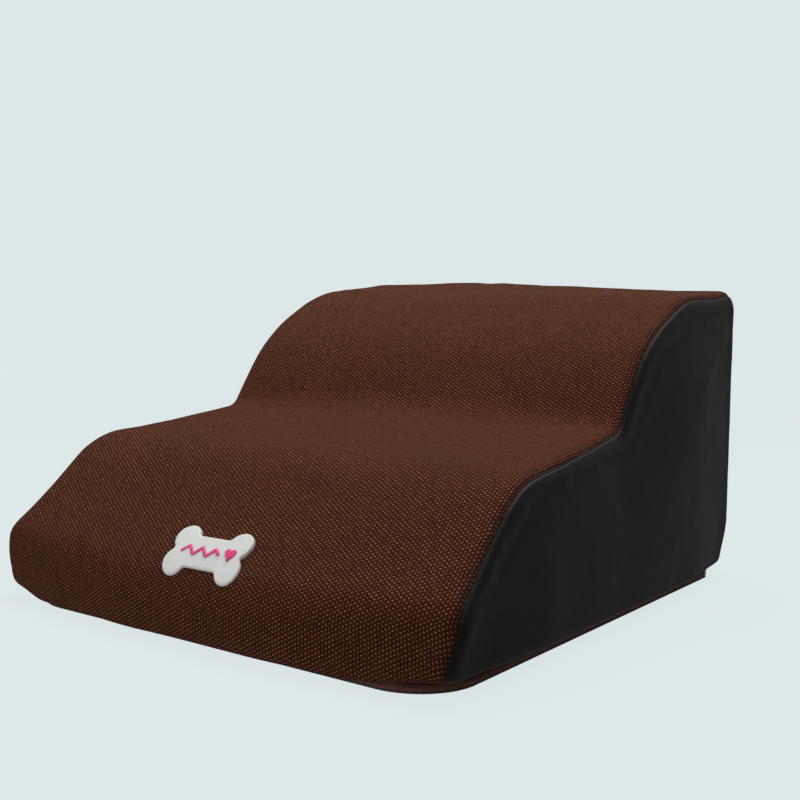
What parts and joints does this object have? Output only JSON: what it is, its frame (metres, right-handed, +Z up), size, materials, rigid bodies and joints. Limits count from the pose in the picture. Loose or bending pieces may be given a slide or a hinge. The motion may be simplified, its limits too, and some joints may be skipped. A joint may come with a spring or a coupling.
{
  "type": "dog ramp",
  "caption": "Two-step foam pet ramp in a zip-off cover: woven top and front, smooth dark sides and back, bone-shaped badge on the low front slope.",
  "frame": {"origin": "on the floor, under the middle of the ramp's bounding box", "axes": "+Z up, +Y from the low front end to the tall back end, +X across the ramp to the right as seen from the front"},
  "size_m": [0.3, 0.35, 0.2],
  "materials": {
    "woven_brown": "matte",
    "black_leatherette": "satin",
    "base_cloth": "matte",
    "zip_tape": "matte",
    "zip_teeth": "satin",
    "zip_metal": "satin",
    "thread": "matte",
    "sponge": "matte",
    "badge_rubber": "satin",
    "badge_pink": "satin"
  },
  "bodies": {
    "cushion": {"foam_core": "sponge", "top_panel": "woven_brown", "left_side_panel": "black_leatherette", "right_side_panel": "black_leatherette", "back_panel": "black_leatherette", "back_gusset_strip": "zip_tape", "base_panel": "base_cloth", "seam_thread_left": "thread", "seam_thread_right": "thread", "seam_thread_back": "thread", "zipper_tape_upper": "zip_tape", "zipper_tape_lower": "zip_tape", "zipper_coil_upper": "zip_teeth", "zipper_coil_lower": "zip_teeth", "zipper_stitching": "thread", "zipper_top_stops": "zip_metal", "zipper_bottom_stop": "zip_metal", "bone_badge": "badge_rubber", "badge_motif": "badge_pink"},
    "slider": {"zipper_slider": "zip_metal"},
    "pull": {"zipper_pull": "zip_metal"}
  },
  "joints": [
    {"name": "zipper_slide", "type": "slide", "parent": "cushion", "child": "slider", "axis": [0, -1, 0], "range_m": [0, 0.265]},
    {"name": "pull_hinge", "type": "hinge", "parent": "slider", "child": "pull", "pos_m": [-0.14725, 0.139, 0.0059], "axis": [0, 0, 1], "range_deg": [0, 175]}
  ]
}
